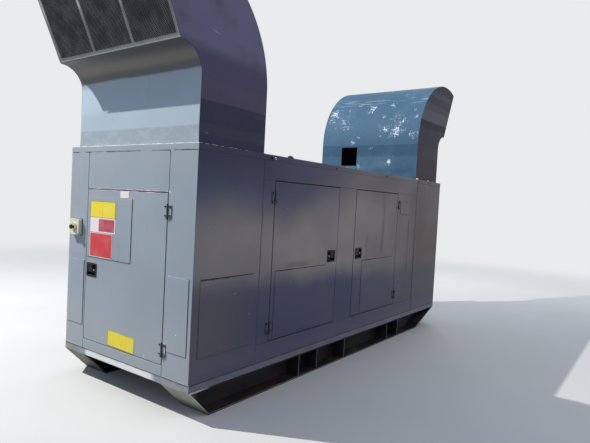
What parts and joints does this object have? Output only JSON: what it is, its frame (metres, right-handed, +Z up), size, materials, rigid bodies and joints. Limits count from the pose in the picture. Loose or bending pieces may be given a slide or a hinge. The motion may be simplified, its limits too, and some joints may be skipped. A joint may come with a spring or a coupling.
{
  "type": "enclosed generator set on a skid",
  "caption": "Steel box enclosure on skid runners, with hinged doors on one side and one end and a curved scoop cowl rising from the roof at each end.",
  "frame": {"origin": "middle of the base on the ground, under the middle of the enclosure", "axes": "+X along the set away from the end with the door, -Y the side with the two opening doors, +Z up"},
  "size_m": [5.6962, 1.65, 3.44],
  "materials": {
    "enclosure_paint": "satin, weathered",
    "skid_paint": "flat, rusting",
    "black_iron": "satin",
    "black_plastic": "matt",
    "plain_steel": "dull",
    "pale_plastic": "gloss",
    "engine_paint": "satin",
    "machine_grey": "satin"
  },
  "bodies": {
    "enclosure": {"alternator": "machine_grey", "bed_rails": "skid_paint", "control_cabinet": "machine_grey", "cowl_mesh": "plain_steel", "cowl_mouth_bars": "plain_steel", "cross_beams": "skid_paint", "end_door_surround": "enclosure_paint", "engine": "engine_paint", "engine_fan": "black_iron", "far_corner_panels": "enclosure_paint", "far_cowl_back": "enclosure_paint", "far_cowl_cheeks": "enclosure_paint", "far_cowl_front": "enclosure_paint", "far_end_panel": "enclosure_paint", "fixed_hinge_leaves": "black_iron", "floor_plate": "skid_paint", "hidden_door_ironwork": "black_iron", "hidden_side_doors": "enclosure_paint", "hidden_side_wall": "enclosure_paint", "near_corner_panels": "enclosure_paint", "near_cowl_back": "enclosure_paint", "near_cowl_cheeks": "enclosure_paint", "near_cowl_front": "enclosure_paint", "radiator": "black_iron", "roof_ends": "enclosure_paint", "roof_middle": "enclosure_paint", "runner_hidden_side": "skid_paint", "runner_visible_side": "skid_paint", "side_wall_posts": "enclosure_paint", "side_wall_rails": "enclosure_paint", "skirt_frame": "enclosure_paint", "stop_box": "pale_plastic", "wall_plates": "enclosure_paint"},
    "end_door": {"end_door": "enclosure_paint", "end_door_plate": "enclosure_paint", "end_door_latch": "black_plastic", "end_door_hinge_leaves": "black_iron"},
    "side_door_near": {"side_door_near": "enclosure_paint", "side_door_near_plate": "enclosure_paint", "side_door_near_latch": "black_plastic", "side_door_near_hinge_leaves": "black_iron"},
    "side_door_far": {"side_door_far": "enclosure_paint", "side_door_far_plate": "enclosure_paint", "side_door_far_latch": "black_plastic", "side_door_far_hinge_leaves": "black_iron"}
  },
  "joints": [
    {"name": "end_door_hinge", "type": "hinge", "parent": "enclosure", "child": "end_door", "pos_m": [-2.383, -0.51, 1.01], "axis": [0, 0, 1], "range_deg": [0, 120]},
    {"name": "side_door_near_hinge", "type": "hinge", "parent": "enclosure", "child": "side_door_near", "pos_m": [-1.489, -0.818, 1.12], "axis": [0, 0, -1], "range_deg": [0, 120]},
    {"name": "side_door_far_hinge", "type": "hinge", "parent": "enclosure", "child": "side_door_far", "pos_m": [0.977, -0.818, 1.12], "axis": [0, 0, 1], "range_deg": [0, 120]}
  ]
}
